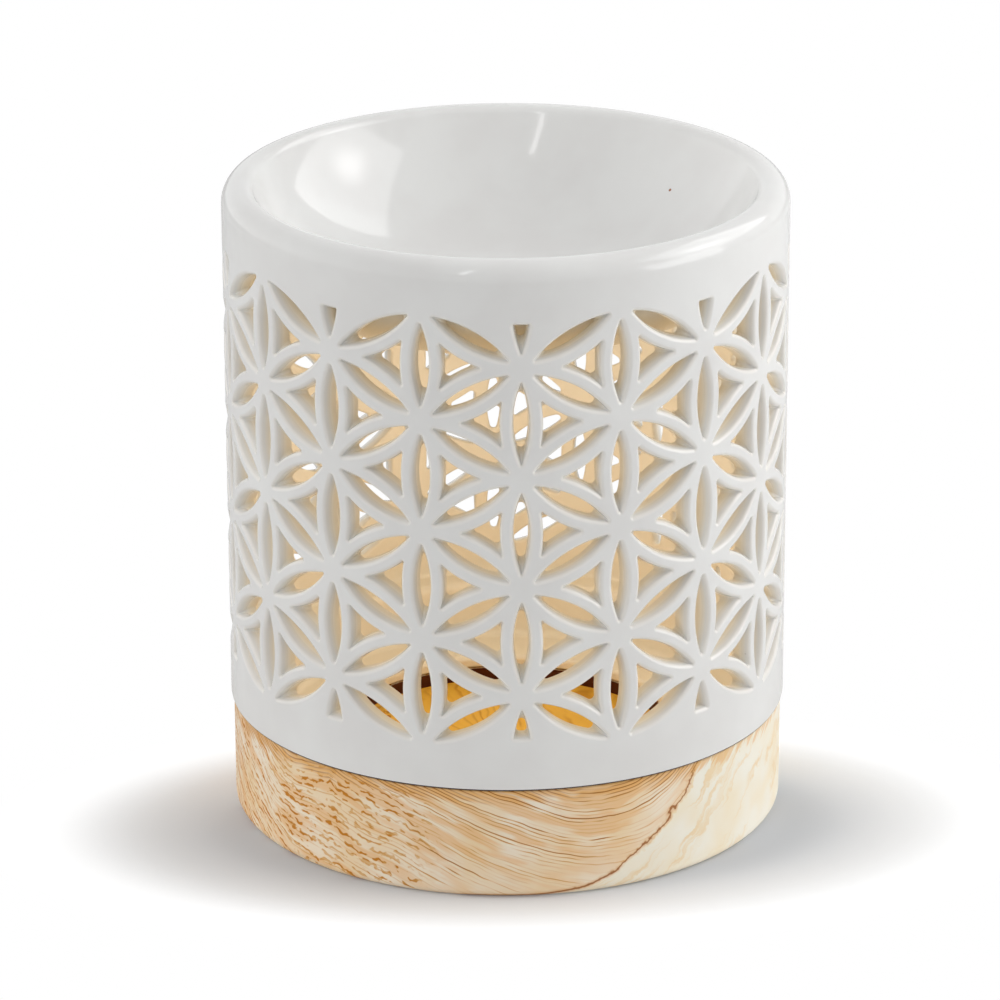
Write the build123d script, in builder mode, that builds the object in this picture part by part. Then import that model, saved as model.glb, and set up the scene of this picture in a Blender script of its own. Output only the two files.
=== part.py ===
"""Essential oil burner: a glazed cylinder with a pierced wall and an oil bowl, in a turned wooden base.

The burner is three clay parts that meet face to face: the bowl with its rolled rim, the pierced wall and the
stepped foot ring. It lifts straight off the wooden base, whose deeper recess is the seat of a tealight.
+Z is up, the origin is at the middle of the underside of the base, and the first column of stars faces -Y.
"""

import os
from math import atan2, cos, degrees, hypot, radians, sin, sqrt

from build123d import *

# Overall sizes in millimetres
burner_radius = 50.0
burner_height = 116.1
base_height = 20.35

# Clay walls
wall_thickness = 3.6
floor_thickness = 2.1

# Oil bowl and its rolled rim
rim_depth = 8.7
rim_outer_rounding = 3.6
rim_inner_rounding = 2.2
bowl_depth = 21.7
bowl_flat_radius = 12.0

# Lattice of the pierced wall: nine pairs of columns of stars, four stars in the first column of a pair
column_pairs = 9
star_rows = 4
top_band = 2.0
bottom_band = 6.35
strip_width = 2.3
cut_petal_share = 0.387

# Foot ring: a hem that stands on the base, a spigot that drops into it and a floor with a round hole
spigot_step = 5.4
spigot_length = 9.15
floor_width = 10.5
hem_rounding = 0.6
spigot_rounding = 2.0
floor_hole_rounding = 0.9
inner_rounding = 1.5

# Wooden base: a little narrower than the burner, with a recess for the spigot and a deeper one, as wide as
# the floor hole, for the tealight
base_step = 0.5
spigot_clearance = 0.4
floor_clearance = 0.3
seat_depth = 2.4
underside_rounding = 1.6
seam_rounding = 0.3

# How far a cut runs past the face that it opens
overrun = 2.0

# Levels and radii that the pieces share
foot_level = base_height + wall_thickness
rim_level = burner_height - rim_depth
spigot_level = base_height - spigot_length
floor_level = spigot_level + floor_thickness
tube_radius = burner_radius - wall_thickness
spigot_radius = burner_radius - spigot_step
spigot_bore = spigot_radius - wall_thickness
floor_hole_radius = spigot_bore - floor_width

# Stars stand where circles cross, a pitch apart up a column and round the wall to the next column
lattice_low = foot_level + bottom_band
lattice_high = rim_level - top_band
row_pitch = (lattice_high - lattice_low) / (star_rows - 1 + 2 * cut_petal_share)
lowest_star = lattice_low + cut_petal_share * row_pitch
column_angle = 360 / (2 * column_pairs)
column_pitch = burner_radius * radians(column_angle)
leaning_pitch = hypot(column_pitch, row_pitch / 2)
lean = degrees(atan2(row_pitch / 2, column_pitch))


def wall_plane(angle, height, turn):
    """A plane just outside the wall and facing out, its x direction turned up from level."""
    outward = Vector(sin(radians(angle)), -cos(radians(angle)), 0)
    level = Vector(cos(radians(angle)), sin(radians(angle)), 0)
    along = level * cos(radians(turn)) + Vector(0, 0, 1) * sin(radians(turn))
    origin = outward * (burner_radius + overrun) + Vector(0, 0, height)
    return Plane(origin=origin, x_dir=along, z_dir=outward)


def petal(pitch):
    """A pointed opening between two stars, half a strip inside the two circles that cross there."""
    arc_radius = pitch - strip_width / 2
    arc_offset = pitch * sqrt(3) / 2
    half_length = sqrt(arc_radius**2 - arc_offset**2)
    half_width = arc_radius - arc_offset
    with BuildSketch(Plane.XY) as outline:
        with BuildLine():
            ThreePointArc((-half_length, 0), (0, half_width), (half_length, 0))
            ThreePointArc((half_length, 0), (0, -half_width), (-half_length, 0))
        make_face()
    return outline.sketch


def cut_petal():
    """The share of an upright petal that shows past an outermost star, ending flat."""
    with BuildSketch(Plane.XY) as outline:
        add(petal(row_pitch))
        with Locations(((cut_petal_share - 0.5) * row_pitch, 0)):
            Rectangle(row_pitch, row_pitch, align=(Align.MIN, Align.CENTER), mode=Mode.SUBTRACT)
    return outline.sketch


def curved_triangle():
    """An opening between three stars, half a strip outside the circles that pass them, pointing along x."""
    stars = [
        Vector(-column_pitch / 2, -row_pitch / 2),
        Vector(column_pitch / 2, 0),
        Vector(-column_pitch / 2, row_pitch / 2),
    ]
    with BuildSketch(Plane.XY) as outline:
        Polygon(*stars, align=None)
        for start, end in zip(stars, stars[1:] + stars[:1]):
            side = end - start
            outward = Vector(side.Y, -side.X)
            with Locations((start + end) / 2 + outward * sqrt(3) / 2):
                Circle(side.length + strip_width / 2, mode=Mode.SUBTRACT)
    return outline.sketch


def corner(outline, radius, height):
    """The corner of a profile nearest to a radius and a height."""
    return outline.vertices().sort_by_distance(Vector(radius, height))[0]


# Openings of one pair of columns, as prisms pushed straight through the wall
star_heights = [lowest_star + row * row_pitch for row in range(star_rows)]
between_heights = [height + row_pitch / 2 for height in star_heights[:-1]]
upright_planes = [wall_plane(0, height, 90) for height in between_heights]
upright_planes += [wall_plane(column_angle, height, 90) for height in star_heights]
cut_planes = [
    wall_plane(0, star_heights[-1] + row_pitch / 2, 90),
    wall_plane(0, star_heights[0] - row_pitch / 2, -90),
]
leaning_planes = [
    wall_plane(side * column_angle / 2, height + way * row_pitch / 4, side * way * lean)
    for height in star_heights
    for side in (-1, 1)
    for way in (-1, 1)
]
triangle_planes = [wall_plane(-column_angle / 2, height, 0) for height in star_heights]
triangle_planes += [wall_plane(column_angle / 2, height, 180) for height in star_heights]
triangle_planes += [wall_plane(-column_angle / 2, height, 180) for height in between_heights]
triangle_planes += [wall_plane(column_angle / 2, height, 0) for height in between_heights]
upright_petal = petal(row_pitch)
leaning_petal = petal(leaning_pitch)
ending_petal = cut_petal()
triangle = curved_triangle()

with BuildPart() as openings:
    with BuildSketch(*upright_planes):
        add(upright_petal)
    with BuildSketch(*cut_planes):
        add(ending_petal)
    with BuildSketch(*leaning_planes):
        add(leaning_petal)
    with BuildSketch(*triangle_planes):
        add(triangle)
    extrude(amount=-(wall_thickness + 2 * overrun))

# Pierced wall: a tube with the openings repeated round it
with BuildPart() as pierced_wall:
    with BuildSketch(Plane.XY.offset(foot_level)):
        Circle(burner_radius)
        Circle(tube_radius, mode=Mode.SUBTRACT)
    extrude(amount=rim_level - foot_level)
    with PolarLocations(0, column_pairs):
        add(openings.part, mode=Mode.SUBTRACT)
pierced_wall.part.label = "pierced_wall"

# Oil bowl: a round dish, hanging from the rolled rim that closes the top of the wall. The arc of its side
# leaves its flat middle level and passes into the rim's inner rounding without a corner
bowl_level = burner_height - bowl_depth
crown_radius = burner_radius - rim_outer_rounding
dish_width = crown_radius - bowl_flat_radius
dish_rise = bowl_depth - rim_inner_rounding
dish_radius = (dish_width**2 + dish_rise**2 - rim_inner_rounding**2) / (2 * bowl_depth)
dish_sweep = 90 - degrees(atan2(dish_radius - dish_rise, dish_width))
with BuildPart() as oil_bowl:
    with BuildSketch(Plane.XZ):
        with BuildLine():
            inside = CenterArc((bowl_flat_radius, bowl_level + dish_radius), dish_radius, 270, dish_sweep)
            CenterArc((crown_radius, bowl_level + dish_rise), rim_inner_rounding, 90, dish_sweep)
            underside = EllipticalCenterArc(
                (bowl_flat_radius, rim_level),
                tube_radius - bowl_flat_radius,
                rim_level - bowl_level + wall_thickness,
                start_angle=270,
                arc_size=90,
            )
            lip = CenterArc((crown_radius, burner_height - rim_outer_rounding), rim_outer_rounding, 0, 90)
            Polyline(lip @ 0, (burner_radius, rim_level), underside @ 1)
            Polyline(underside @ 0, (0, bowl_level - wall_thickness), (0, bowl_level), inside @ 0)
        make_face()
    revolve(axis=Axis.Z)
oil_bowl.part.label = "oil_bowl"

# Foot ring: the wall's hem, stepped in to the spigot, with the floor inside it
with BuildPart() as foot_ring:
    with BuildSketch(Plane.XZ) as foot_profile:
        Polygon(
            (burner_radius, foot_level),
            (spigot_bore, foot_level),
            (spigot_bore, floor_level),
            (floor_hole_radius, floor_level),
            (floor_hole_radius, spigot_level),
            (spigot_radius, spigot_level),
            (spigot_radius, base_height),
            (burner_radius, base_height),
            align=None,
        )
        fillet(corner(foot_profile, burner_radius, base_height), hem_rounding)
        fillet(corner(foot_profile, spigot_radius, spigot_level), spigot_rounding)
        fillet(corner(foot_profile, floor_hole_radius, floor_level), floor_hole_rounding)
        fillet(corner(foot_profile, spigot_bore, foot_level), inner_rounding)
        fillet(corner(foot_profile, spigot_bore, floor_level), inner_rounding)
    revolve(axis=Axis.Z)
foot_ring.part.label = "foot_ring"

# Wooden base: a turned disc with the two recesses
base_radius = burner_radius - base_step
socket_radius = spigot_radius + spigot_clearance
ledge_level = spigot_level - floor_clearance
seat_level = ledge_level - seat_depth
with BuildPart() as wooden_base:
    with BuildSketch(Plane.XZ) as base_profile:
        Polygon(
            (0, 0),
            (base_radius, 0),
            (base_radius, base_height),
            (socket_radius, base_height),
            (socket_radius, ledge_level),
            (floor_hole_radius, ledge_level),
            (floor_hole_radius, seat_level),
            (0, seat_level),
            align=None,
        )
        fillet(corner(base_profile, base_radius, 0), underside_rounding)
        fillet(corner(base_profile, base_radius, base_height), seam_rounding)
        fillet(corner(base_profile, socket_radius, base_height), seam_rounding)
    revolve(axis=Axis.Z)
wooden_base.part.label = "wooden_base"

os.makedirs("parts", exist_ok=True)
export_step(oil_bowl.part, "parts/oil_bowl.step")
export_step(pierced_wall.part, "parts/pierced_wall.step")
export_step(foot_ring.part, "parts/foot_ring.step")
export_step(wooden_base.part, "parts/wooden_base.step")
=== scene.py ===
"""Essential oil burner: white glazed earthenware with a pierced wall, standing in a turned wooden base.

Sizes are in millimetres until a mesh or a place is handed to Blender. +Z is up, and the first column of
stars of the lattice faces -Y. The bowl, the wall and the foot are one glazed piece, so one mesh stands for
all three.
"""

import math

import bpy
from mathutils import Matrix, Vector
from mathutils.geometry import delaunay_2d_cdt


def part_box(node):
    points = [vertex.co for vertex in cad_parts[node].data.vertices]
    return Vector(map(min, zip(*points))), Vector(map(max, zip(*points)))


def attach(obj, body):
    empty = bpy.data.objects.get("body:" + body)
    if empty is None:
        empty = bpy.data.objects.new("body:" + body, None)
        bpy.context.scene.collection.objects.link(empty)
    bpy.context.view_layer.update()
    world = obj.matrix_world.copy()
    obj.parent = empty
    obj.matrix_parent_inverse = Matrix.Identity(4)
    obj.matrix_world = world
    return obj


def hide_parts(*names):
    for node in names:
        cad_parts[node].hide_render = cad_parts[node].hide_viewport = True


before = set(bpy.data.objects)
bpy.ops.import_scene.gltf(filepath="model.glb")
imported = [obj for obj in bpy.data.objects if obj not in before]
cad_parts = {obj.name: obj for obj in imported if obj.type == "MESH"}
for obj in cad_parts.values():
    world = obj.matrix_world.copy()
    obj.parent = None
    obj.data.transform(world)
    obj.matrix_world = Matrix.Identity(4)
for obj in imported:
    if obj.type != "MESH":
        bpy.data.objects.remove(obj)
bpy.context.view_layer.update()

# A millimetre in metres
MM = 0.001


def corners(name):
    """The lowest and highest corner of a piece of the frame in millimetres, to a hundredth."""
    return [Vector([round(value / MM, 2) for value in corner]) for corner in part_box(name)]


# Levels and radii that the frame gives
BOWL_BOX = corners("oil_bowl")
WALL_BOX = corners("pierced_wall")
FOOT_BOX = corners("foot_ring")
BASE_BOX = corners("wooden_base")
WALL_RADIUS = WALL_BOX[1].x
TOP_LEVEL = BOWL_BOX[1].z
RIM_LEVEL = WALL_BOX[1].z
FOOT_LEVEL = WALL_BOX[0].z
BASE_LEVEL = BASE_BOX[1].z
SPIGOT_LEVEL = FOOT_BOX[0].z
UNDERSIDE_LEVEL = BOWL_BOX[0].z

# Clay walls, bowl and foot
WALL = 3.6
FLOOR_THICKNESS = 2.1
LIP_ROUNDING = 3.6
MOUTH_ROUNDING = 2.2
BOWL_FLAT_RADIUS = 12.0
SPIGOT_RADIUS = 44.6
FLOOR_HOLE_RADIUS = 30.5
INSIDE_RADIUS = WALL_RADIUS - WALL

# Roundings of the foot: of the hem and the spigot's end, in the corners of the hollow, over the floor's hole,
# where the wall meets the hem inside, and at the tight corners that are left
HEM_ROUNDING = 0.6
SPIGOT_ROUNDING = 2.0
HOLLOW_ROUNDING = 1.5
HOLE_ROUNDING = 0.9
STEP_ROUNDING = 0.8
TIGHT_ROUNDING = 0.4

# Lattice
COLUMN_PAIRS = 9
STAR_ROWS = 4
TOP_BAND = 2.0
BOTTOM_BAND = 6.35
STRIP = 2.3
CUT_PETAL_SHARE = 0.387
LATTICE_LOW = FOOT_LEVEL + BOTTOM_BAND
LATTICE_HIGH = RIM_LEVEL - TOP_BAND
ROW_PITCH = (LATTICE_HIGH - LATTICE_LOW) / (STAR_ROWS - 1 + 2 * CUT_PETAL_SHARE)
LOWEST_STAR = LATTICE_LOW + CUT_PETAL_SHARE * ROW_PITCH
COLUMN_ANGLE = math.pi / COLUMN_PAIRS
COLUMN_PITCH = WALL_RADIUS * COLUMN_ANGLE
LEANING_PITCH = math.hypot(COLUMN_PITCH, ROW_PITCH / 2)
LEAN = math.atan2(ROW_PITCH / 2, COLUMN_PITCH)

# Between which levels the wall's two faces are filled round the openings: one low, and one high for each face
FACE_LOW = LATTICE_LOW - 3.0
OUTER_FACE_HIGH = RIM_LEVEL + 1.0
INNER_FACE_HIGH = RIM_LEVEL - 0.3

# How far glaze softens the edges of the openings, outside and inside, and how round their ends are there
EDGE_SOFTENING = 0.75
INNER_SOFTENING = 0.5
TIP_ROUNDING = 0.12
DEEP_TIP_ROUNDING = 0.7

# The openings narrow inwards: how much on each side, and what share of it has come at steps through the wall
NARROWING = 0.3
NARROWING_SHARES = (0.0, 0.45, 0.8, 1.0)

# How bare the clay is: not at all or fully, and the depth past the softened edges over which the glaze
# gives way
GLAZED = 0.0
BARE = 1.0
BARE_DEPTH = 1.6

# The angle that the photograph is taken from, against the first column of stars
VIEW_ANGLE = math.radians(-2.89)

# Fineness of the meshes: steps round the axis, along the sides of an opening and round its tips, over its
# outer and inner edges, along the arcs of the bowl, and for each millimetre of a rounding of the foot
TURNS = 180
SIDE_STEPS = 10
TIP_STEPS = 6
EDGE_STEPS = 4
INNER_STEPS = 3
LIP_STEPS = 14
MOUTH_STEPS = 9
DISH_STEPS = 30
UNDERSIDE_STEPS = 26
ROUNDING_STEPS = 4


class Surface:
    """Points, normals and faces of one mesh, and how thin the glaze and how bare the clay is at a point."""

    def __init__(self):
        self.points, self.normals, self.thin, self.bare, self.faces = [], [], [], [], []

    def ring(self, rows):
        """Adds points given as place, normal, thinness and bareness, and returns their numbers."""
        first = len(self.points)
        for place, normal, thin, bare in rows:
            self.points.append(place)
            self.normals.append(normal.normalized())
            self.thin.append(thin)
            self.bare.append(bare)
        return list(range(first, len(self.points)))

    def join(self, ring, other):
        """Closes the strip between two rings of as many points."""
        for k in range(len(ring)):
            after = (k + 1) % len(ring)
            self.faces.append((ring[k], ring[after], other[after], other[k]))

    def close(self, ring, pole):
        """Closes a ring with a point in its middle."""
        for k in range(len(ring)):
            self.faces.append((ring[k], ring[(k + 1) % len(ring)], pole))

    def outward(self, face):
        """The face, turned round where it looks the other way from its points' normals."""
        a, b, c = (self.points[index] for index in face[:3])
        facing = (b - a).cross(c - a)
        if len(face) > 3:
            facing += (c - a).cross(self.points[face[3]] - a)
        wanted = sum((self.normals[index] for index in face), Vector((0, 0, 0)))
        return face if facing.dot(wanted) > 0 else face[::-1]

    def build(self, name):
        """The mesh as an object in metres, shaded by its own normals."""
        mesh = bpy.data.meshes.new(name)
        faces = [self.outward(face) for face in self.faces]
        mesh.from_pydata([place * MM for place in self.points], [], faces)
        mesh.shade_smooth()
        mesh.normals_split_custom_set_from_vertices(self.normals)
        for layer, values in (("glaze_thin", self.thin), ("clay_bare", self.bare)):
            mesh.attributes.new(layer, "FLOAT", "POINT").data.foreach_set("value", values)
        piece = bpy.data.objects.new(name, mesh)
        bpy.context.scene.collection.objects.link(piece)
        return piece


def around(radius, angle, height):
    """A place on a circle about the axis, its angle counted from the front towards +X."""
    return Vector((radius * math.sin(angle), -radius * math.cos(angle), height))


# Outlines of the openings. Each point keeps the direction that looks out of the opening, so that one outline
# serves every depth of a softened edge: it spreads along those directions. Each shape is drawn with an inset,
# its corners come from its two sides, and the spread gives the inset back and rounds the corners.


def crossing(centre_a, radius_a, centre_b, radius_b, middle):
    """Where two circles cross, on the side of a point."""
    apart = centre_b - centre_a
    along = (apart.length_squared + radius_a**2 - radius_b**2) / (2 * apart.length)
    across = math.sqrt(radius_a**2 - along**2)
    foot = centre_a + apart.normalized() * along
    side = Vector((-apart.y, apart.x)).normalized() * across
    return min(foot + side, foot - side, key=lambda point: (point - middle).length)


def side_points(start, end, centre):
    """Points and outward directions between two corners, on an arc about a centre or straight without one."""
    run = end - start
    if centre is None:
        outward = Vector((run.y, -run.x)).normalized()
        return [(start + run * step / SIDE_STEPS, outward) for step in range(SIDE_STEPS + 1)]
    arm = start - centre
    sweep = math.atan2(arm.x * (end - centre).y - arm.y * (end - centre).x, arm.dot(end - centre))
    way = 1 if sweep > 0 else -1
    points = []
    for step in range(SIDE_STEPS + 1):
        turned = Matrix.Rotation(sweep * step / SIDE_STEPS, 2) @ arm
        points.append((centre + turned, turned.normalized() * way))
    return points


def outline(tips, centres):
    """An opening's points and outward directions, counter-clockwise, with a fan of directions at each tip."""
    sides = [side_points(tip, tips[(k + 1) % len(tips)], centres[k]) for k, tip in enumerate(tips)]
    rows = []
    for k, side in enumerate(sides):
        rows += side
        last, first = side[-1][1], sides[(k + 1) % len(sides)][0][1]
        turn = math.atan2(last.x * first.y - last.y * first.x, last.dot(first))
        for step in range(1, TIP_STEPS):
            rows.append((side[-1][0], Matrix.Rotation(turn * step / TIP_STEPS, 2) @ last))
    return rows


def petal(pitch, inset):
    """The pointed opening between two stars a pitch apart."""
    reach = pitch - STRIP / 2 - inset
    offset = pitch * math.sqrt(3) / 2
    tip = Vector((math.sqrt(reach**2 - offset**2), 0))
    return outline([tip, -tip], [Vector((0, -offset)), Vector((0, offset))])


def upright_petal(inset):
    """A petal between two stars of one column."""
    return petal(ROW_PITCH, inset)


def leaning_petal(inset):
    """A petal between stars of neighbouring columns."""
    return petal(LEANING_PITCH, inset)


def cut_petal(inset):
    """An upright petal that ends flat past an outermost star, its tip towards -x."""
    reach = ROW_PITCH - STRIP / 2 - inset
    offset = ROW_PITCH * math.sqrt(3) / 2
    cut = (CUT_PETAL_SHARE - 0.5) * ROW_PITCH - inset
    half = math.sqrt(reach**2 - cut**2) - offset
    tip = Vector((-math.sqrt(reach**2 - offset**2), 0))
    tips = [tip, Vector((cut, -half)), Vector((cut, half))]
    return outline(tips, [Vector((0, offset)), None, Vector((0, -offset))])


def curved_triangle(inset):
    """The opening between three stars, pointing along x."""
    stars = [
        Vector((-COLUMN_PITCH / 2, -ROW_PITCH / 2)),
        Vector((COLUMN_PITCH / 2, 0)),
        Vector((-COLUMN_PITCH / 2, ROW_PITCH / 2)),
    ]
    circles = []
    for start, end in zip(stars, stars[1:] + stars[:1]):
        side = end - start
        centre = (start + end) / 2 + Vector((side.y, -side.x)) * math.sqrt(3) / 2
        circles.append((centre, side.length + STRIP / 2 + inset))
    middle = sum(stars, Vector((0, 0))) / 3
    tips = [crossing(*circles[k - 1], *circles[k], middle) for k in range(3)]
    return outline(tips, [centre for centre, _ in circles])


def placed_openings():
    """Every opening of the wall: its outline at the face and deep in, and where it is on the wall."""
    rows = [LOWEST_STAR + row * ROW_PITCH for row in range(STAR_ROWS)]
    between = [height + ROW_PITCH / 2 for height in rows[:-1]]
    insets = (TIP_ROUNDING, NARROWING + DEEP_TIP_ROUNDING)
    shapes = (upright_petal, leaning_petal, cut_petal, curved_triangle)
    upright, leaning, ending, triangle = ([shape(inset) for inset in insets] for shape in shapes)
    quarter = math.pi / 2
    kinds = [(upright, 0, height, quarter) for height in between]
    kinds += [(upright, COLUMN_ANGLE, height, quarter) for height in rows]
    kinds.append((ending, 0, rows[-1] + ROW_PITCH / 2, quarter))
    kinds.append((ending, 0, rows[0] - ROW_PITCH / 2, -quarter))
    for side in (-1, 1):
        middle = side * COLUMN_ANGLE / 2
        for height in rows:
            kinds += [(leaning, middle, height + way * ROW_PITCH / 4, side * way * LEAN) for way in (-1, 1)]
            kinds.append((triangle, middle, height, 0 if side < 0 else math.pi))
        kinds += [(triangle, middle, height, math.pi if side < 0 else 0) for height in between]
    openings = []
    for shape, angle, height, turn in kinds:
        turned = Matrix.Rotation(turn, 2)
        points = [[(turned @ place, turned @ direction) for place, direction in drawn] for drawn in shape]
        openings += [(points, angle + pair * 2 * COLUMN_ANGLE, height) for pair in range(COLUMN_PAIRS)]
    return openings


def opening_depths():
    """The rings of an opening from the wall's face inwards: radius, spread, share of narrowing, thinness."""
    rows = []
    for step in range(EDGE_STEPS + 1):
        turn = math.pi / 2 * step / EDGE_STEPS
        spread = TIP_ROUNDING + EDGE_SOFTENING * (1 - math.sin(turn))
        rows.append((WALL_RADIUS - EDGE_SOFTENING * (1 - math.cos(turn)), spread, 0.0, math.sin(2 * turn)))
    start, end = rows[-1][0], INSIDE_RADIUS + INNER_SOFTENING
    for step, share in enumerate(NARROWING_SHARES[1:-1], 1):
        radius = start + (end - start) * step / (len(NARROWING_SHARES) - 1)
        spread = TIP_ROUNDING + (DEEP_TIP_ROUNDING - TIP_ROUNDING) * share
        rows.append((radius, spread, share, 0.0))
    for step in range(INNER_STEPS + 1):
        turn = math.pi / 2 * step / INNER_STEPS
        spread = DEEP_TIP_ROUNDING + INNER_SOFTENING * (1 - math.cos(turn))
        rows.append((INSIDE_RADIUS + INNER_SOFTENING * (1 - math.sin(turn)), spread, 1.0, 0.0))
    return rows


def pierce(surface, opening, depths):
    """Adds the softened edges and the narrowing sides of one opening. Returns its rings."""
    (at_face, deep_in), middle, height = opening
    grid = []
    for radius, spread, share, _ in depths:
        row = []
        for (place, direction), (deep_place, deep_direction) in zip(at_face, deep_in):
            drawn = place.lerp(deep_place, share) + direction.lerp(deep_direction, share) * spread
            row.append(around(radius, middle + math.asin(drawn.x / radius), height + drawn.y))
        grid.append(row)
    count, last = len(at_face), len(grid) - 1
    rings = []
    for depth, row in enumerate(grid):
        rows = []
        for k, place in enumerate(row):
            if depth in (0, last):
                normal = Vector((place.x, place.y, 0)) * (1 if depth == 0 else -1)
            else:
                along = row[(k + 1) % count] - row[k - 1]
                normal = along.cross(grid[depth + 1][k] - grid[depth - 1][k])
            bare = min(BARE, max(GLAZED, (WALL_RADIUS - EDGE_SOFTENING - depths[depth][0]) / BARE_DEPTH))
            rows.append((place, normal, depths[depth][3], bare))
        rings.append(surface.ring(rows))
    for ring, deeper in zip(rings, rings[1:]):
        surface.join(ring, deeper)
    return rings


def fill_face(surface, radius, loops, high_loop):
    """Fills a face of the wall between its openings and its two borders.

    The wall is laid out flat as a disc with a hole, its height as the distance from the middle, which keeps
    angles and has no seam. Triangles in an opening, or in the hole, are left out.
    """
    flat, edges, owner = [], [], []
    for number, loop in enumerate(loops):
        first = len(flat)
        for rank, index in enumerate(loop):
            place = surface.points[index]
            angle, reach = math.atan2(place.x, -place.y), math.exp(-place.z / radius)
            flat.append(Vector((reach * math.cos(angle), reach * math.sin(angle))))
            edges.append((first + rank, first + (rank + 1) % len(loop)))
            owner.append((number, rank, index))
    whole_hull, merged_below = 0, 1e-9
    _, _, triangles, sources, _, _ = delaunay_2d_cdt(flat, edges, [], whole_hull, merged_below)
    for triangle in triangles:
        found = [owner[sources[corner][0]] for corner in triangle]
        (number, a, _), (second, b, _), (third, c, _) = found
        if number == second == third:
            in_order = a < b < c or b < c < a or c < a < b
            if number == high_loop or (number < high_loop and in_order):
                continue
        surface.faces.append(tuple(index for _, _, index in found))


def arc_rows(centre, radii, start, end, steps, hollow=False, bare=GLAZED):
    """Rows of a profile along an arc in degrees: radius, height, two shares of the normal, thin and bare."""
    rows = []
    for step in range(steps + 1):
        angle = math.radians(start + (end - start) * step / steps)
        normal = Vector((math.cos(angle) / radii[0], math.sin(angle) / radii[1])).normalized()
        normal *= -1 if hollow else 1
        place = (centre[0] + radii[0] * math.cos(angle), centre[1] + radii[1] * math.sin(angle))
        rows.append((*place, normal.x, normal.y, 0.0, bare))
    return rows


def run_rows(points):
    """Rows of a profile through corners, with the air on the right.

    Each corner is a radius, a height, its rounding and how bare the clay is there.
    """
    places = [Vector(point[:2]) for point in points]
    rows = []
    for before, here, after, point in zip(places, places[1:], places[2:], points[1:]):
        way_in, way_out = (here - before).normalized(), (after - here).normalized()
        turn = math.atan2(way_in.x * way_out.y - way_in.y * way_out.x, way_in.dot(way_out))
        trim = point[2] * math.tan(abs(turn) / 2)
        start = here - way_in * trim
        left = Vector((-way_in.y, way_in.x)) * math.copysign(point[2], turn)
        steps = max(ROUNDING_STEPS, round(point[2] * ROUNDING_STEPS))
        for step in range(steps + 1):
            spun = Matrix.Rotation(turn * step / steps, 2)
            air = spun @ Vector((way_in.y, -way_in.x))
            place = start + left - spun @ left
            thin = (1 - abs(2 * step / steps - 1)) * (turn > 0)
            rows.append((place.x, place.y, air.x, air.y, thin, point[3]))
    return rows


def lathe(surface, rows, first=None, last=None):
    """Turns a profile about the axis, joined to rings that are there already. A row on the axis is a pole."""
    rings = [first] if first else []
    for radius, height, out, up, *finish in rows:
        if radius == 0:
            rings.append(surface.ring([(Vector((0, 0, height)), Vector((0, 0, up)), *finish)]))
            continue
        angles = [2 * math.pi * k / TURNS for k in range(TURNS)]
        rings.append(surface.ring([(around(radius, a, height), around(out, a, up), *finish) for a in angles]))
    rings += [last] if last else []
    for ring, other in zip(rings, rings[1:]):
        if len(other) == 1:
            surface.close(ring, other[0])
        elif len(ring) == 1:
            surface.close(other, ring[0])
        else:
            surface.join(ring, other)


def border(surface, radius, height, way):
    """A ring on a face of the wall, past the lattice. Way is 1 where the face looks out, or -1."""
    angles = [2 * math.pi * k / TURNS for k in range(TURNS)]
    bare = BARE if way < 0 else GLAZED
    return surface.ring([(around(radius, a, height), around(way, a, 0), 0.0, bare) for a in angles])


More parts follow.
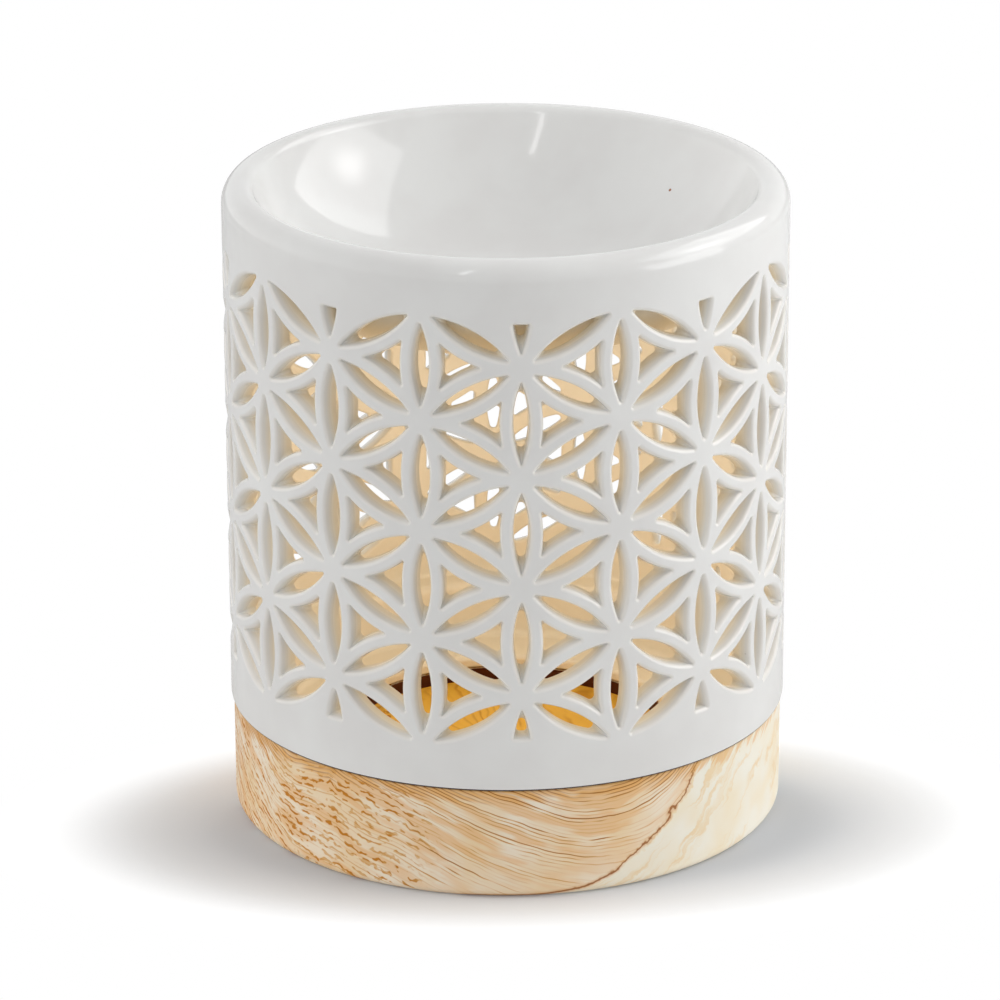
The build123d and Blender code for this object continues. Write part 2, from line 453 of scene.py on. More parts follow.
def glazed_burner():
    """The bowl, the pierced wall and the foot as one closed skin of glaze."""
    surface = Surface()

    # The wall's two faces, filled between the openings from one border to the other
    outer = [border(surface, WALL_RADIUS, level, 1) for level in (OUTER_FACE_HIGH, FACE_LOW)]
    inner = [border(surface, INSIDE_RADIUS, level, -1) for level in (INNER_FACE_HIGH, FACE_LOW)]
    depths = opening_depths()
    rings = [pierce(surface, opening, depths) for opening in placed_openings()]
    fill_face(surface, WALL_RADIUS, [ring[0] for ring in rings] + outer, len(rings))
    fill_face(surface, INSIDE_RADIUS, [ring[-1] for ring in rings] + inner, len(rings))

    # The bowl: over the lip, round the mouth and down the side of the dish, which ends level at its middle
    crown = WALL_RADIUS - LIP_ROUNDING
    bowl_level = UNDERSIDE_LEVEL + WALL
    depth = TOP_LEVEL - bowl_level
    width, rise = crown - BOWL_FLAT_RADIUS, depth - MOUTH_ROUNDING
    dish = (width**2 + rise**2 - MOUTH_ROUNDING**2) / (2 * depth)
    sweep = 90 - math.degrees(math.atan2(dish - rise, width))
    lip_centre = (crown, TOP_LEVEL - LIP_ROUNDING)
    mouth_centre = (crown, TOP_LEVEL - MOUTH_ROUNDING)
    dish_centre = (BOWL_FLAT_RADIUS, bowl_level + dish)
    rows = arc_rows(lip_centre, (LIP_ROUNDING, LIP_ROUNDING), 0, 90, LIP_STEPS)
    rows += arc_rows(mouth_centre, (MOUTH_ROUNDING, MOUTH_ROUNDING), 90, 90 + sweep, MOUTH_STEPS)[1:-1]
    rows += arc_rows(dish_centre, (dish, dish), 270 + sweep, 270, DISH_STEPS, hollow=True)
    rows.append((0, bowl_level, 0, 1, 0.0, GLAZED))
    lathe(surface, rows, first=outer[0])

    # Its underside: a quarter of an ellipse that stops just short of the wall
    radii = (INSIDE_RADIUS - BOWL_FLAT_RADIUS, RIM_LEVEL - UNDERSIDE_LEVEL)
    short_of_wall = 355
    rows = [(0, UNDERSIDE_LEVEL, 0, -1, 0.0, BARE)]
    rows += arc_rows((BOWL_FLAT_RADIUS, RIM_LEVEL), radii, 270, short_of_wall, UNDERSIDE_STEPS, bare=BARE)
    lathe(surface, rows, last=inner[0])

    # The foot, from the wall's inside down into the spigot, under its floor and up to the hem
    spigot_bore = SPIGOT_RADIUS - WALL
    floor_level = SPIGOT_LEVEL + FLOOR_THICKNESS
    rows = run_rows([
        (INSIDE_RADIUS, FACE_LOW),
        (INSIDE_RADIUS, FOOT_LEVEL, STEP_ROUNDING, BARE),
        (spigot_bore, FOOT_LEVEL, HOLLOW_ROUNDING, BARE),
        (spigot_bore, floor_level, HOLLOW_ROUNDING, BARE),
        (FLOOR_HOLE_RADIUS, floor_level, HOLE_ROUNDING, BARE),
        (FLOOR_HOLE_RADIUS, SPIGOT_LEVEL, TIGHT_ROUNDING, BARE),
        (SPIGOT_RADIUS, SPIGOT_LEVEL, SPIGOT_ROUNDING, BARE),
        (SPIGOT_RADIUS, BASE_LEVEL, TIGHT_ROUNDING, BARE),
        (WALL_RADIUS, BASE_LEVEL, HEM_ROUNDING, GLAZED),
        (WALL_RADIUS, FACE_LOW),
    ])
    lathe(surface, rows, first=inner[1], last=outer[1])
    return surface.build("glazed_burner")


def linear(code):
    """An sRGB hex colour as linear values."""
    parts = [int(code[k:k + 2], 16) / 255 for k in (0, 2, 4)]
    return (*[part / 12.92 if part <= 0.04045 else ((part + 0.055) / 1.055)**2.4 for part in parts], 1)


def node(tree, kind, inputs=(), out=0, stops=(), **settings):
    """Adds a node with its settings and links, and returns one of its outputs.

    Its inputs are listed or named, each a socket to link, a value or a hex colour. Stops are the places of a
    ramp's greys, each with its grey.
    """
    made = tree.nodes.new("ShaderNode" + kind)
    for name, value in settings.items():
        setattr(made, name, value)
    for name, value in inputs.items() if isinstance(inputs, dict) else enumerate(inputs):
        if isinstance(value, bpy.types.NodeSocket):
            tree.links.new(value, made.inputs[name])
        else:
            made.inputs[name].default_value = linear(value) if isinstance(value, str) else value
    for number, (position, grey) in enumerate(stops):
        elements = made.color_ramp.elements
        element = elements[number] if number < len(elements) else elements.new(position)
        element.position, element.color = position, (grey, grey, grey, 1)
    return made.outputs[out]


def new_material(name):
    """A material with its shader and the place of each point in millimetres."""
    material = bpy.data.materials.new(name)
    material.use_nodes = True
    tree = material.node_tree
    place = node(tree, "TexCoord", out="Object")
    place = node(tree, "VectorMath", (place, (1 / MM, 1 / MM, 1 / MM)), operation="MULTIPLY")
    return material, tree, tree.nodes["Principled BSDF"], place


# Sockets of a Mix node between two colours, whose names other sockets of that node have as well
FACTOR, A, B, RESULT = 0, 6, 7, 2

# Glaze: the size of its clouds and of its slow roll, how high it rolls, and how warm it gets where it is thin
GLAZE_CLOUD = 16
GLAZE_ROLL = 9
ROLL_HEIGHT = 0.06
THIN_WARMTH = 0.5
GLAZE_IOR = 1.52
GLAZE_ROUGHNESS = 0.09
CLAY_ROUGHNESS = 0.45

# Pinholes, each in a cell whose random value is high enough: the size of the cells, that value, the outer and
# inner radius of a pinhole and how strong it is. Then the same two radii and the place of the iron speck, on
# the far side of the bowl
PINHOLE_CELL = 9
PINHOLE_CHOICE = 0.6
PINHOLE_RADII = (0.18, 0.108)
PINHOLE_STRENGTH = 0.3
SPECK_RADII = (0.34, 0.22)
SPECK_PLACE = (30.88, 23.12, 106.16)

# The painted shadow at the foot, a dark line just under the seam: its height, and how far in from the wall's
# face it goes
SEAM_SHADOW_HEIGHT = 0.42
SEAM_SHADOW_DEPTH = 1.2


def white_glaze():
    """Opaque white glaze over cream earthenware, dipped and fired glossy, thinning to bare clay inside.

    It gives the eye sharp reflections on a very slightly rolling surface, a cloudy cool white, a warmer
    white where the glaze runs thin over an edge, cream clay through the openings, faint pinholes and one
    iron speck.
    """
    material, tree, shader, place = new_material("white_glazed_earthenware")
    cloud = node(tree, "TexNoise", {"Vector": place, "Scale": 1 / GLAZE_CLOUD, "Detail": 3})
    cloud = node(tree, "MapRange", (cloud, 0.3, 0.7), interpolation_type="SMOOTHSTEP")
    glaze = node(tree, "Mix", {FACTOR: cloud, A: "ECEBE9", B: "F1F1EF"}, RESULT, data_type="RGBA")
    thin = node(tree, "Attribute", out="Fac", attribute_name="glaze_thin")
    thin = node(tree, "Math", (thin, THIN_WARMTH), operation="MULTIPLY")
    glaze = node(tree, "Mix", {FACTOR: thin, A: glaze, B: "F6F1E8"}, RESULT, data_type="RGBA")

    # The iron speck, and a pinhole in some of the cells
    from_speck = node(tree, "VectorMath", (place, SPECK_PLACE), "Value", operation="DISTANCE")
    speck = node(tree, "MapRange", (from_speck, *SPECK_RADII), interpolation_type="SMOOTHSTEP")
    glaze = node(tree, "Mix", {FACTOR: speck, A: glaze, B: "A26444"}, RESULT, data_type="RGBA")
    cells = node(tree, "TexVoronoi", {"Vector": place, "Scale": 1 / PINHOLE_CELL})
    outer, inner = (radius / PINHOLE_CELL for radius in PINHOLE_RADII)
    pinhole = node(tree, "MapRange", (cells, outer, inner), interpolation_type="SMOOTHSTEP")
    chosen = node(tree, "Math", (cells.node.outputs["Color"], PINHOLE_CHOICE), operation="GREATER_THAN")
    for kept in (chosen, PINHOLE_STRENGTH):
        pinhole = node(tree, "Math", (pinhole, kept), operation="MULTIPLY")
    glaze = node(tree, "Mix", {FACTOR: pinhole, A: glaze, B: "9A948C"}, RESULT, data_type="RGBA")

    # Bare clay inside, and the painted shadow line at the foot
    bare = node(tree, "Attribute", out="Fac", attribute_name="clay_bare")
    body = node(tree, "Mix", {FACTOR: bare, A: glaze, B: "F6ECD8"}, RESULT, data_type="RGBA")
    level = node(tree, "SeparateXYZ", (place,), "Z")
    flat = node(tree, "VectorMath", (place, (1, 1, 0)), operation="MULTIPLY")
    reach = node(tree, "VectorMath", (flat,), "Value", operation="LENGTH")
    # Painted shadow: a dark line all round the foot, just under the seam
    low = node(tree, "Math", (level, BASE_LEVEL + SEAM_SHADOW_HEIGHT), operation="LESS_THAN")
    outside = node(tree, "Math", (reach, WALL_RADIUS - SEAM_SHADOW_DEPTH), operation="GREATER_THAN")
    seam_shadow = node(tree, "Math", (low, outside), operation="MULTIPLY")
    body = node(tree, "Mix", {FACTOR: seam_shadow, A: body, B: "35333A"}, RESULT, data_type="RGBA")
    tree.links.new(body, shader.inputs["Base Color"])
    roughness = (bare, 0.2, 1.0, GLAZE_ROUGHNESS, CLAY_ROUGHNESS)
    roughness = node(tree, "MapRange", roughness, interpolation_type="SMOOTHSTEP")
    tree.links.new(roughness, shader.inputs["Roughness"])
    shader.inputs["IOR"].default_value = GLAZE_IOR
    roll = node(tree, "TexNoise", {"Vector": place, "Scale": 1 / GLAZE_ROLL, "Detail": 2})
    bump = node(tree, "Bump", {"Height": roll, "Strength": 1, "Distance": ROLL_HEIGHT * MM}, "Normal")
    tree.links.new(bump, shader.inputs["Normal"])
    return material


# The directions to the right and to the back of the photograph
TO_THE_RIGHT, TO_THE_BACK = (around(1, VIEW_ANGLE + turn, 0) for turn in (math.pi / 2, math.pi))

# How the grain wanders: the size of each swell and how far it pushes. Then the size of the colour's clouds
WANDERINGS = ((25, 5), (5, 0.9))
DARKER_CLOUD = 12
PALER_CLOUD = 10

# Growth lines: how far apart they lie, how dark one is across its width, and their bends. A bend looks right
# or left, begins at a distance from the middle, and lifts by a share of a power of the distance past that
GROWTH_PITCH = 0.72
GROWTH_PROFILE = ((0.0, 0.0), (0.48, 0.1), (0.72, 1.0), (0.84, 0.9), (0.97, 0.0))
GROWTH_BENDS = ((1, -30.0, 1, 0.42), (1, 0.0, 3, -4.6e-4), (-1, 36.0, 2, -0.1))

# The vein: a curve that rises with the third power of how far right it is, from a level at the front to a
# height above it at a reach, and how large and how strong its kinks are. It is drawn as a stain with a core,
# each with the distances where it begins and is full, its strength and its colour
VEIN_LEVEL = 0.4
VEIN_RISE = 17.3
VEIN_REACH = 32.1
KINK_SIZE = 4
KINK = 1.2
VEIN_LAYERS = ((0.7, 0.1, 0.5, "E0A452"), (0.26, 0.08, 0.85, "9C5408"))

# Flecks: how far left of the middle they begin and are all there, their size, and how many growth lines they
# sway and lie apart
FLECKED = (-10.0, -22.0)
FLECK_SIZE = 1.7
FLECK_SWAY = 2.8
FLECK_PITCH = 1.9

# What breaks up the flecks and the growth lines, and the warm rows and faint wisps: how long each is along
# the grain, and how fast it changes across the grain
FLECK_BREAKS = (2.2, 0.46)
DASHES = (9.0, 0.72)
ROWS = (12.0, 0.3)
WISPS = (13.0, 1.0)

# Growth lines fade to this share among the flecks and at the vein. Above the vein they come back over one
# distance, and the warm rows over another
FADED = 0.45
LINES_RETURN = 7.0
WARMTH_RETURN = 9.0

# The warm edge under the seam: the level where it is full, and where it ends on the paler and the darker side
EDGE_FULL = BASE_LEVEL - 0.75
EDGE_END_PALER = BASE_LEVEL - 1.75
EDGE_END_DARKER = BASE_LEVEL - 3.55

# The seat: its level, and how far past its edges the recess's colouring and painted shade reach
SEAT_LEVEL = 8.5
SEAT_MARGIN = 0.2

# Oiled wood: its roughness beside the marks and on them, its gloss, and how deep the marks lie
WOOD_ROUGHNESS = (0.4, 0.5)
WOOD_SPECULAR = 0.25
MARK_DEPTH = 0.03


def along_grain(tree, spread, length, rate):
    """Noise drawn out along the grain: its length, and how fast it changes across the grain.

    Spread is how far right a place lies, how far across the grain and how far back.
    """
    scaled = node(tree, "VectorMath", (spread, (1 / length, rate, 1 / length)), operation="MULTIPLY")
    return node(tree, "TexNoise", {"Vector": scaled, "Scale": 1, "Detail": 2})


def wandering(tree, place):
    """A place, pushed aside as the grain wanders."""
    pushed = place
    for size, push in WANDERINGS:
        shift = node(tree, "TexNoise", {"Vector": place, "Scale": 1 / size, "Detail": 1}, "Color")
        shift = node(tree, "VectorMath", (shift, (0.5, 0.5, 0.5)), operation="SUBTRACT")
        shift = node(tree, "VectorMath", {0: shift, "Scale": push}, operation="SCALE")
        pushed = node(tree, "VectorMath", (pushed, shift), operation="ADD")
    return pushed


def above_vein(tree, place, level):
    """How far a place lies above the vein, measured square to it in millimetres."""
    kink = node(tree, "TexNoise", {"Vector": place, "Scale": 1 / KINK_SIZE, "Detail": 3, "Roughness": 0.6})
    kink = node(tree, "MapRange", (kink, 0.2, 0.8, -KINK, KINK), interpolation_type="SMOOTHSTEP")
    share = node(tree, "VectorMath", (place, TO_THE_RIGHT), "Value", operation="DOT_PRODUCT")
    share = node(tree, "Math", (share, kink), operation="ADD")
    share = node(tree, "Math", (share, VEIN_REACH), operation="DIVIDE")
    squared = node(tree, "Math", (share, share), operation="MULTIPLY")
    cubed = node(tree, "Math", (squared, share), operation="MULTIPLY")
    curve = node(tree, "Math", (cubed, VEIN_RISE, VEIN_LEVEL), operation="MULTIPLY_ADD")
    slope = node(tree, "Math", (squared, 3 * VEIN_RISE / VEIN_REACH), operation="MULTIPLY")
    steep = node(tree, "Math", (slope, slope, 1.0), operation="MULTIPLY_ADD")
    steep = node(tree, "Math", (steep,), operation="SQRT")
    above = node(tree, "Math", (level, curve), operation="SUBTRACT")
    return node(tree, "Math", (above, steep), operation="DIVIDE")


def growth_rank(tree, warped, side):
    """Which growth line a place lies in, as a number that rises by one from each line to the next."""
    grain = node(tree, "SeparateXYZ", (warped,), "Z")
    for way, begin, power, share in GROWTH_BENDS:
        past = node(tree, "Math", (side, way, -begin), operation="MULTIPLY_ADD")
        past = node(tree, "Math", (past, 0.0), operation="MAXIMUM")
        past = node(tree, "Math", (past, power), operation="POWER")
        grain = node(tree, "Math", (past, share, grain), operation="MULTIPLY_ADD")
    return node(tree, "Math", (grain, GROWTH_PITCH), operation="DIVIDE")


def ring_lines(tree, rank, profile, dashes, flecked, above):
    """Growth lines in long dashes, some strong and some faint. They fade among the flecks and at the vein."""
    strength = node(tree, "Math", (rank,), operation="FLOOR")
    strength = node(tree, "TexWhiteNoise", {"W": strength}, noise_dimensions="1D")
    strength = node(tree, "MapRange", (strength, 0.0, 1.0, 0.25, 1.0), interpolation_type="SMOOTHSTEP")
    dashed = node(tree, "MapRange", (dashes, 0.36, 0.58, 0.12, 1.0), interpolation_type="SMOOTHSTEP")
    off_flecks = node(tree, "MapRange", (flecked, 0.0, 1.0, 1.0, FADED), interpolation_type="SMOOTHSTEP")
    off_vein = node(tree, "MapRange", (above, 0.0, LINES_RETURN, FADED, 1.0), interpolation_type="SMOOTHSTEP")
    lines = profile
    for kept in (strength, dashed, off_flecks, off_vein):
        lines = node(tree, "Math", (lines, kept), operation="MULTIPLY")
    return lines


def short_flecks(tree, place, rank, spread, rows):
    """Short flecks in swaying lines, closer together in the warm rows."""
    flecks = node(tree, "TexNoise", {"Vector": place, "Scale": 1 / FLECK_SIZE, "Detail": 1})
    flecks = node(tree, "Math", (flecks, FLECK_SWAY, rank), operation="MULTIPLY_ADD")
    flecks = node(tree, "Math", (flecks, FLECK_PITCH), operation="DIVIDE")
    flecks = node(tree, "Math", (flecks,), operation="FRACT")
    flecks = node(tree, "Math", (flecks, 0.5), operation="SUBTRACT")
    flecks = node(tree, "Math", (flecks,), operation="ABSOLUTE")
    flecks = node(tree, "MapRange", (flecks, 0.25, 0.13), interpolation_type="SMOOTHSTEP")
    broken = along_grain(tree, spread, *FLECK_BREAKS)
    broken = node(tree, "MapRange", (broken, 0.44, 0.53), interpolation_type="SMOOTHSTEP")
    gathered = node(tree, "Math", (rows, 0.6, 0.4), operation="MULTIPLY_ADD")
    for kept in (broken, gathered):
        flecks = node(tree, "Math", (flecks, kept), operation="MULTIPLY")
    return flecks


def darker_side(tree, warped, above, rows, marks, flecked):
    """The colour above the vein: cream, warm rows that fade towards the vein, and the brown marks."""
    cloud = node(tree, "TexNoise", {"Vector": warped, "Scale": 1 / DARKER_CLOUD, "Detail": 2})
    cloud = node(tree, "MapRange", (cloud, 0.3, 0.7), interpolation_type="SMOOTHSTEP")
    ground = node(tree, "Mix", {FACTOR: cloud, A: "FDF0DC", B: "F9DEB6"}, RESULT, data_type="RGBA")
    warmth = node(tree, "MapRange", (above, 0.0, WARMTH_RETURN, 0.25, 0.65), interpolation_type="SMOOTHSTEP")
    warmth = node(tree, "Math", (rows, warmth), operation="MULTIPLY")
    ground = node(tree, "Mix", {FACTOR: warmth, A: ground, B: "F2BE7E"}, RESULT, data_type="RGBA")
    faint = node(tree, "MapRange", (marks, 0.0, 0.6), interpolation_type="SMOOTHSTEP")
    strong = node(tree, "MapRange", (marks, 0.35, 1.0), interpolation_type="SMOOTHSTEP")
    brown = node(tree, "Mix", {FACTOR: flecked, A: "A0580E", B: "CC801C"}, RESULT, data_type="RGBA")
    marked = node(tree, "Mix", {FACTOR: faint, A: ground, B: "E2AE66"}, RESULT, data_type="RGBA")
    return node(tree, "Mix", {FACTOR: strong, A: marked, B: brown}, RESULT, data_type="RGBA")


def paler_side(tree, warped, above, side, depth):
    """The colour below and right of the vein: pale cream with faint wisps that run along it."""
    wisps = node(tree, "CombineXYZ", (side, above, depth))
    wisps = along_grain(tree, wisps, *WISPS)
    wisps = node(tree, "MapRange", (wisps, 0.5, 0.7, 0.0, 0.7), interpolation_type="SMOOTHSTEP")
    cloud = node(tree, "TexNoise", {"Vector": warped, "Scale": 1 / PALER_CLOUD, "Detail": 2})
    cloud = node(tree, "MapRange", (cloud, 0.3, 0.7), interpolation_type="SMOOTHSTEP")
    ground = node(tree, "Mix", {FACTOR: cloud, A: "FDF8EA", B: "FCEFD4"}, RESULT, data_type="RGBA")
    return node(tree, "Mix", {FACTOR: wisps, A: ground, B: "F5D6A0"}, RESULT, data_type="RGBA")


def with_seam_edge(tree, body, level, above, beyond, profile, dashes):
    """The wood with a warmer, ragged edge under the seam, and dark growth lines in it above the vein."""
    ragged = node(tree, "MapRange", (dashes, 0.3, 0.7, -1.6, 1.2), interpolation_type="SMOOTHSTEP")
    ragged = node(tree, "Math", (level, ragged), operation="ADD")
    lowest = (above, -3.0, 2.0, EDGE_END_PALER, EDGE_END_DARKER)
    lowest = node(tree, "MapRange", lowest, interpolation_type="SMOOTHSTEP")
    edge = node(tree, "MapRange", (ragged, lowest, EDGE_FULL), interpolation_type="SMOOTHSTEP")
    strength = node(tree, "MapRange", (above, -6.0, 3.0, 0.55, 0.8), interpolation_type="SMOOTHSTEP")
    edge = node(tree, "Math", (edge, strength), operation="MULTIPLY")
    dense = node(tree, "MapRange", (dashes, 0.3, 0.5, 0.4, 1.0), interpolation_type="SMOOTHSTEP")
    for kept in (profile, beyond):
        dense = node(tree, "Math", (dense, kept), operation="MULTIPLY")
    colour = node(tree, "Mix", {FACTOR: dense, A: "F2BC70", B: "B2661A"}, RESULT, data_type="RGBA")
    return node(tree, "Mix", {FACTOR: edge, A: body, B: colour}, RESULT, data_type="RGBA")


def with_recess(tree, body, place, level, marks):
    """The wood with the colouring of the seat's recess: a warm floor, and painted shade on its wall."""
    flat = node(tree, "VectorMath", (place, (1, 1, 0)), operation="MULTIPLY")
    reach = node(tree, "VectorMath", (flat,), "Value", operation="LENGTH")
    inside = node(tree, "Math", (reach, FLOOR_HOLE_RADIUS + SEAT_MARGIN), operation="LESS_THAN")
    off_underside = node(tree, "Math", (level, SEAT_LEVEL / 2), operation="GREATER_THAN")
    inside = node(tree, "Math", (inside, off_underside), operation="MULTIPLY")
    recess = node(tree, "Mix", {FACTOR: marks, A: "F2BE48", B: "BE7A20"}, RESULT, data_type="RGBA")
    # Painted shade: the recess wall is coloured dark brown all round in place of the shade on it
    wall = node(tree, "Math", (level, SEAT_LEVEL + SEAT_MARGIN / 2), operation="GREATER_THAN")
    recess = node(tree, "Mix", {FACTOR: wall, A: recess, B: "4A1C0C"}, RESULT, data_type="RGBA")
    return node(tree, "Mix", {FACTOR: inside, A: body, B: recess}, RESULT, data_type="RGBA")


def pale_wood():
    """A turned disc of pale wood with plain grain and an open vein, satin from oil.

    It gives the eye thin brown ring lines that break into flecks on the left and sweep down across the front
    to a dark vein, faint wisps in the paler wood beyond it, a warmer edge at the seam, a warm recess floor
    and painted shade on the recess wall.
    """
    material, tree, shader, place = new_material("turned_pale_wood")
    level = node(tree, "SeparateXYZ", (place,), "Z")
    above = above_vein(tree, place, level)
    warped = wandering(tree, place)
    side = node(tree, "VectorMath", (warped, TO_THE_RIGHT), "Value", operation="DOT_PRODUCT")
    depth = node(tree, "VectorMath", (warped, TO_THE_BACK), "Value", operation="DOT_PRODUCT")
    rank = growth_rank(tree, warped, side)
    spread = node(tree, "CombineXYZ", (side, rank, depth))

    # Marks: growth lines, and flecks on the left
    profile = node(tree, "Math", (rank,), operation="FRACT")
    profile = node(tree, "ValToRGB", (profile,), stops=GROWTH_PROFILE)
    dashes = along_grain(tree, spread, *DASHES)
    rows = along_grain(tree, spread, *ROWS)
    rows = node(tree, "MapRange", (rows, 0.43, 0.57), interpolation_type="SMOOTHSTEP")
    flecked = node(tree, "MapRange", (side, *FLECKED), interpolation_type="SMOOTHSTEP")
    lines = ring_lines(tree, rank, profile, dashes, flecked, above)
    flecks = short_flecks(tree, place, rank, spread, rows)
    marks = node(tree, "Math", (flecks, flecked, lines), operation="MULTIPLY_ADD", use_clamp=True)

    # Colours: both sides of the vein, the vein between them, the edge under the seam and the recess
    darker = darker_side(tree, warped, above, rows, marks, flecked)
    paler = paler_side(tree, warped, above, side, depth)
    beyond = node(tree, "MapRange", (above, -0.5, 0.15), interpolation_type="SMOOTHSTEP")
    body = node(tree, "Mix", {FACTOR: beyond, A: paler, B: darker}, RESULT, data_type="RGBA")
    from_vein = node(tree, "Math", (above,), operation="ABSOLUTE")
    for begin, full, strength, colour in VEIN_LAYERS:
        drawn = (from_vein, begin, full, 0.0, strength)
        drawn = node(tree, "MapRange", drawn, interpolation_type="SMOOTHSTEP")
        body = node(tree, "Mix", {FACTOR: drawn, A: body, B: colour}, RESULT, data_type="RGBA")
    body = with_seam_edge(tree, body, level, above, beyond, profile, dashes)
    body = with_recess(tree, body, place, level, marks)
    tree.links.new(body, shader.inputs["Base Color"])
    roughness = node(tree, "MapRange", (marks, 0.0, 1.0, *WOOD_ROUGHNESS), interpolation_type="SMOOTHSTEP")
    tree.links.new(roughness, shader.inputs["Roughness"])
    shader.inputs["Specular IOR Level"].default_value = WOOD_SPECULAR
    sunk = node(tree, "Math", (marks, -1.0), operation="MULTIPLY")
    bump = node(tree, "Bump", {"Height": sunk, "Strength": 1, "Distance": MARK_DEPTH * MM}, "Normal")
    tree.links.new(bump, shader.inputs["Normal"])
    return material


# Floor: how far it reaches each way, its white as other surfaces see it, how much it glows for the camera
# near the object, where it passes into plain white, where a painted shadow darkens it round the base and to
# what grey, the middle and the squeeze of both outlines, and how matt it is
PAPER_REACH = 4000.0
PAPER_AROUND = "E8E8E8"
PAPER_LIFT = 0.1
PAPER_BLEND = (56.0, 98.0)
PAINTED_SHADOW_REACH = (48.0, 74.0)
PAINTED_SHADOW_GREY = "BCBFC4"
SHADE_MIDDLE = (2.0, -17.0, 0.0)
SHADE_SQUEEZE = 1.8
PAPER_ROUGHNESS = 0.9


def white_paper():
    """Matt white paper: lit round the object with its shadow and a painted shadow at the base, white further
    off.
    """
    material, tree, shader, place = new_material("white_paper_floor")
    seen = node(tree, "LightPath", out="Is Camera Ray")
    squeezed = node(tree, "VectorMath", (place, SHADE_MIDDLE), operation="SUBTRACT")
    squeezed = node(tree, "VectorMath", (squeezed, (1, SHADE_SQUEEZE, 0)), operation="MULTIPLY")
    reach = node(tree, "VectorMath", (squeezed,), "Value", operation="LENGTH")
    beyond = node(tree, "MapRange", (reach, *PAPER_BLEND), interpolation_type="SMOOTHSTEP")
    # Painted shadow: the camera sees the paper greyed round the base, on top of its real shadow
    open_floor = node(tree, "MapRange", (reach, *PAINTED_SHADOW_REACH), interpolation_type="SMOOTHSTEP")
    painted_shadow = node(tree, "Mix", {FACTOR: open_floor, A: PAINTED_SHADOW_GREY, B: "FFFFFF"}, RESULT, data_type="RGBA")
    lit = node(tree, "Mix", {FACTOR: beyond, A: painted_shadow, B: "000000"}, RESULT, data_type="RGBA")
    shown = node(tree, "Mix", {FACTOR: seen, A: PAPER_AROUND, B: lit}, RESULT, data_type="RGBA")
    tree.links.new(shown, shader.inputs["Base Color"])
    lift = node(tree, "MapRange", (beyond, 0.0, 1.0, PAPER_LIFT, 1.0), interpolation_type="SMOOTHSTEP")
    lift = node(tree, "Math", (seen, lift), operation="MULTIPLY")
    tree.links.new(lift, shader.inputs["Emission Strength"])
    shader.inputs["Emission Color"].default_value = linear("FFFFFF")
    shader.inputs["Roughness"].default_value = PAPER_ROUGHNESS
    shader.inputs["Specular IOR Level"].default_value = 0
    return material


def paper_floor():
    """The flat sheet that the base stands on."""
    reach = PAPER_REACH * MM
    mesh = bpy.data.meshes.new("floor")
    ends = [(-reach, -reach, 0), (reach, -reach, 0), (reach, reach, 0), (-reach, reach, 0)]
    mesh.from_pydata(ends, [], [range(len(ends))])
    mesh.materials.append(white_paper())
    piece = bpy.data.objects.new("floor", mesh)
    bpy.context.scene.collection.objects.link(piece)


# The room's soft light, and what it adds on the left
WORLD_LIGHT = 0.28
WORLD_LEFT = 1.2


def studio_world():
    """White for the camera and in reflections, and a soft light on all else, stronger from the left."""
    world = bpy.data.worlds.new("studio")
    bpy.context.scene.world = world
    world.use_nodes = True
    tree = world.node_tree
    background = tree.nodes["Background"]
    background.inputs["Color"].default_value = (1, 1, 1, 1)
    seen = node(tree, "LightPath", out="Is Camera Ray")
    plain = node(tree, "Math", (seen, seen.node.outputs["Is Glossy Ray"]), operation="MAXIMUM")
    plain = node(tree, "Math", (plain, seen.node.outputs["Is Transmission Ray"]), operation="MAXIMUM")
    left = node(tree, "TexCoord", out="Generated")
    left = node(tree, "VectorMath", (left, (-1, 0, 0)), "Value", operation="DOT_PRODUCT")
    left = node(tree, "Math", (left, 0.0), operation="MAXIMUM")
    soft = node(tree, "Math", (left, WORLD_LEFT, WORLD_LIGHT), operation="MULTIPLY_ADD")
    strength = node(tree, "MapRange", {"Value": plain, "To Min": soft, "To Max": 1.0})
    tree.links.new(strength, background.inputs["Strength"])


# What the lamps look at
LAMP_AIM = Vector((0, 0, 60))


def lamp(name, azimuth, elevation, distance, size, light, core=None):
    """A soft lamp that looks at the object, its angles in degrees, its distance and size in millimetres.

    The light is how bright it looks beside a white surface in plain light. A core is a soft bright spot in
    it: its place across and up and its two radii, all as shares of the size, and how many times as bright.
    """
    data = bpy.data.lights.new(name, "AREA")
    data.shape = "RECTANGLE"
    data.size, data.size_y = (side * MM for side in size)
    data.energy = light * math.pi * data.size * data.size_y
    if core:
        across, up, wide, high, peak = core
        data.use_nodes = True
        tree = data.node_tree
        place = node(tree, "NewGeometry", out="Parametric")
        place = node(tree, "VectorMath", (place, (0.5 + across, 0.5 + up, 0)), operation="SUBTRACT")
        place = node(tree, "VectorMath", (place, (1 / wide, 1 / high, 0)), operation="MULTIPLY")
        reach = node(tree, "VectorMath", (place,), "Value", operation="LENGTH")
        strength = node(tree, "MapRange", (reach, 1.0, 0.0, 1.0, peak), interpolation_type="SMOOTHSTEP")
        tree.links.new(strength, tree.nodes["Emission"].inputs["Strength"])
    made = bpy.data.objects.new(name, data)
    turn, tilt = math.radians(azimuth), math.radians(elevation)
    from_aim = around(distance * math.cos(tilt), turn, distance * math.sin(tilt))
    made.location = (LAMP_AIM + from_aim) * MM
    made.rotation_euler = (-from_aim).to_track_quat("-Z", "Y").to_euler()
    made.visible_camera = False
    bpy.context.scene.collection.objects.link(made)


def glow(name, place, radius, watts, colour):
    """A small soft lamp that fills a hollow with light, its place and radius in millimetres."""
    data = bpy.data.lights.new(name, "POINT")
    data.shadow_soft_size = radius * MM
    data.energy = watts
    data.color = linear(colour)[:3]
    made = bpy.data.objects.new(name, data)
    made.location = Vector(place) * MM
    made.visible_camera = False
    made.visible_glossy = False
    bpy.context.scene.collection.objects.link(made)


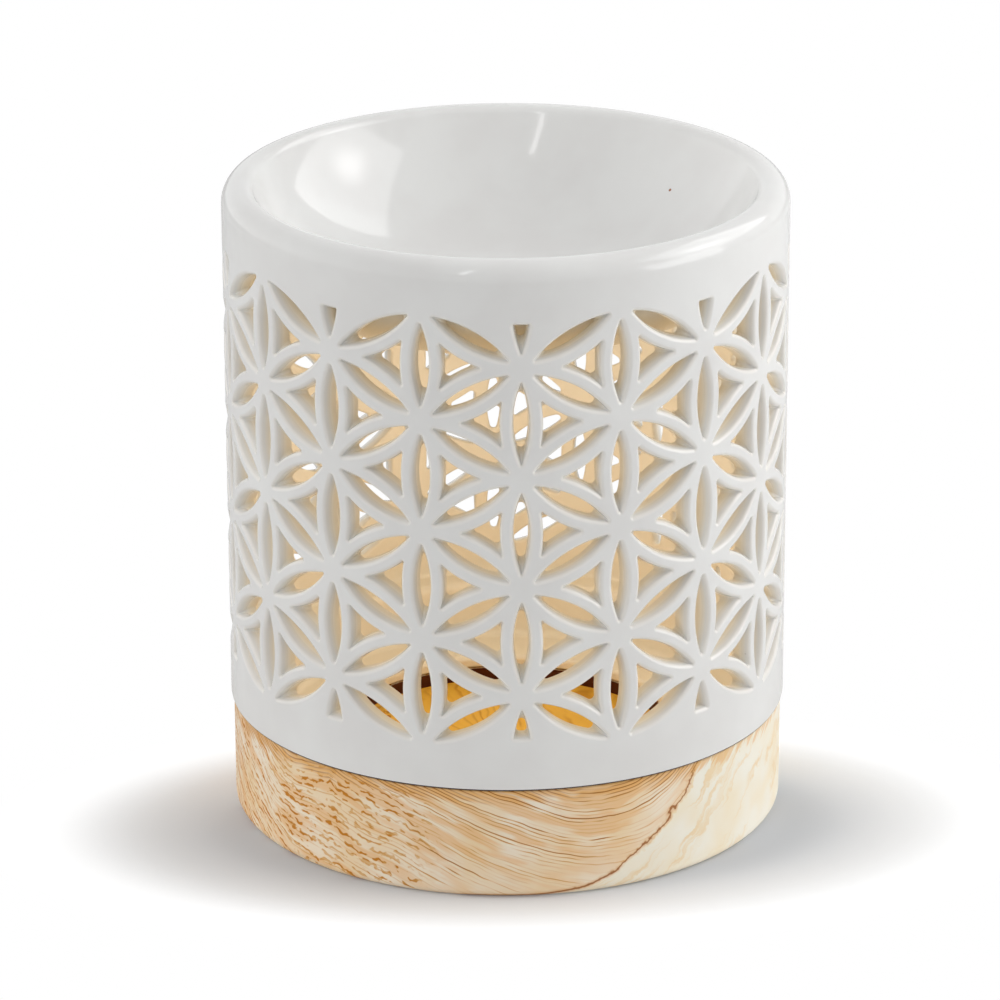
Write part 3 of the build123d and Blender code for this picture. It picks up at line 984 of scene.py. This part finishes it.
# The photograph's camera: how far off it stands, how it looks down and rolls, where it aims, and its lens
CAMERA_DISTANCE = 977.2
CAMERA_PITCH = math.radians(20.37)
CAMERA_ROLL = math.radians(-0.19)
CAMERA_AIM = Vector((-1.18, 0, 55.76))
CAMERA_LENS = 196.1
SENSOR_WIDTH = 36


def long_camera():
    """A long lens at the photograph's angle, turned so that the first column of stars stands off centre."""
    turn = Matrix.Rotation(VIEW_ANGLE, 3, "Z")
    aim = turn @ CAMERA_AIM
    away = Vector((0, -math.cos(CAMERA_PITCH), math.sin(CAMERA_PITCH)))
    up = Vector((0, math.sin(CAMERA_PITCH), math.cos(CAMERA_PITCH)))
    right = Vector((1, 0, 0))
    rolled_right = right * math.cos(CAMERA_ROLL) + up * math.sin(CAMERA_ROLL)
    rolled_up = up * math.cos(CAMERA_ROLL) - right * math.sin(CAMERA_ROLL)
    axes = Matrix((turn @ rolled_right, turn @ rolled_up, turn @ away)).transposed()
    data = bpy.data.cameras.new("camera")
    data.sensor_fit = "HORIZONTAL"
    data.sensor_width = SENSOR_WIDTH
    data.lens = CAMERA_LENS
    camera = bpy.data.objects.new("camera", data)
    camera.matrix_world = Matrix.Translation((aim + turn @ away * CAMERA_DISTANCE) * MM) @ axes.to_4x4()
    bpy.context.scene.collection.objects.link(camera)
    bpy.context.scene.camera = camera


burner = glazed_burner()
burner.data.materials.append(white_glaze())
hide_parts("oil_bowl", "pierced_wall", "foot_ring")
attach(burner, "burner")

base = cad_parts["wooden_base"]
base.data.materials.clear()
base.data.materials.append(pale_wood())

paper_floor()
studio_world()
bright_core = (-0.12, 0.0, 0.26, 0.34, 3.0)
lamp("right_panel", azimuth=103, elevation=40, distance=800, size=(820, 480), light=2.0, core=bright_core)
lamp("low_right_panel", azimuth=72, elevation=12, distance=900, size=(600, 420), light=2.5)
lamp("front_strip", azimuth=-22, elevation=50, distance=900, size=(26, 370), light=6.0)
glow("chamber_fill", place=(0, 0, 58), radius=14, watts=0.024, colour="FFF8EE")
long_camera()
bpy.context.scene.view_settings.view_transform = "Standard"
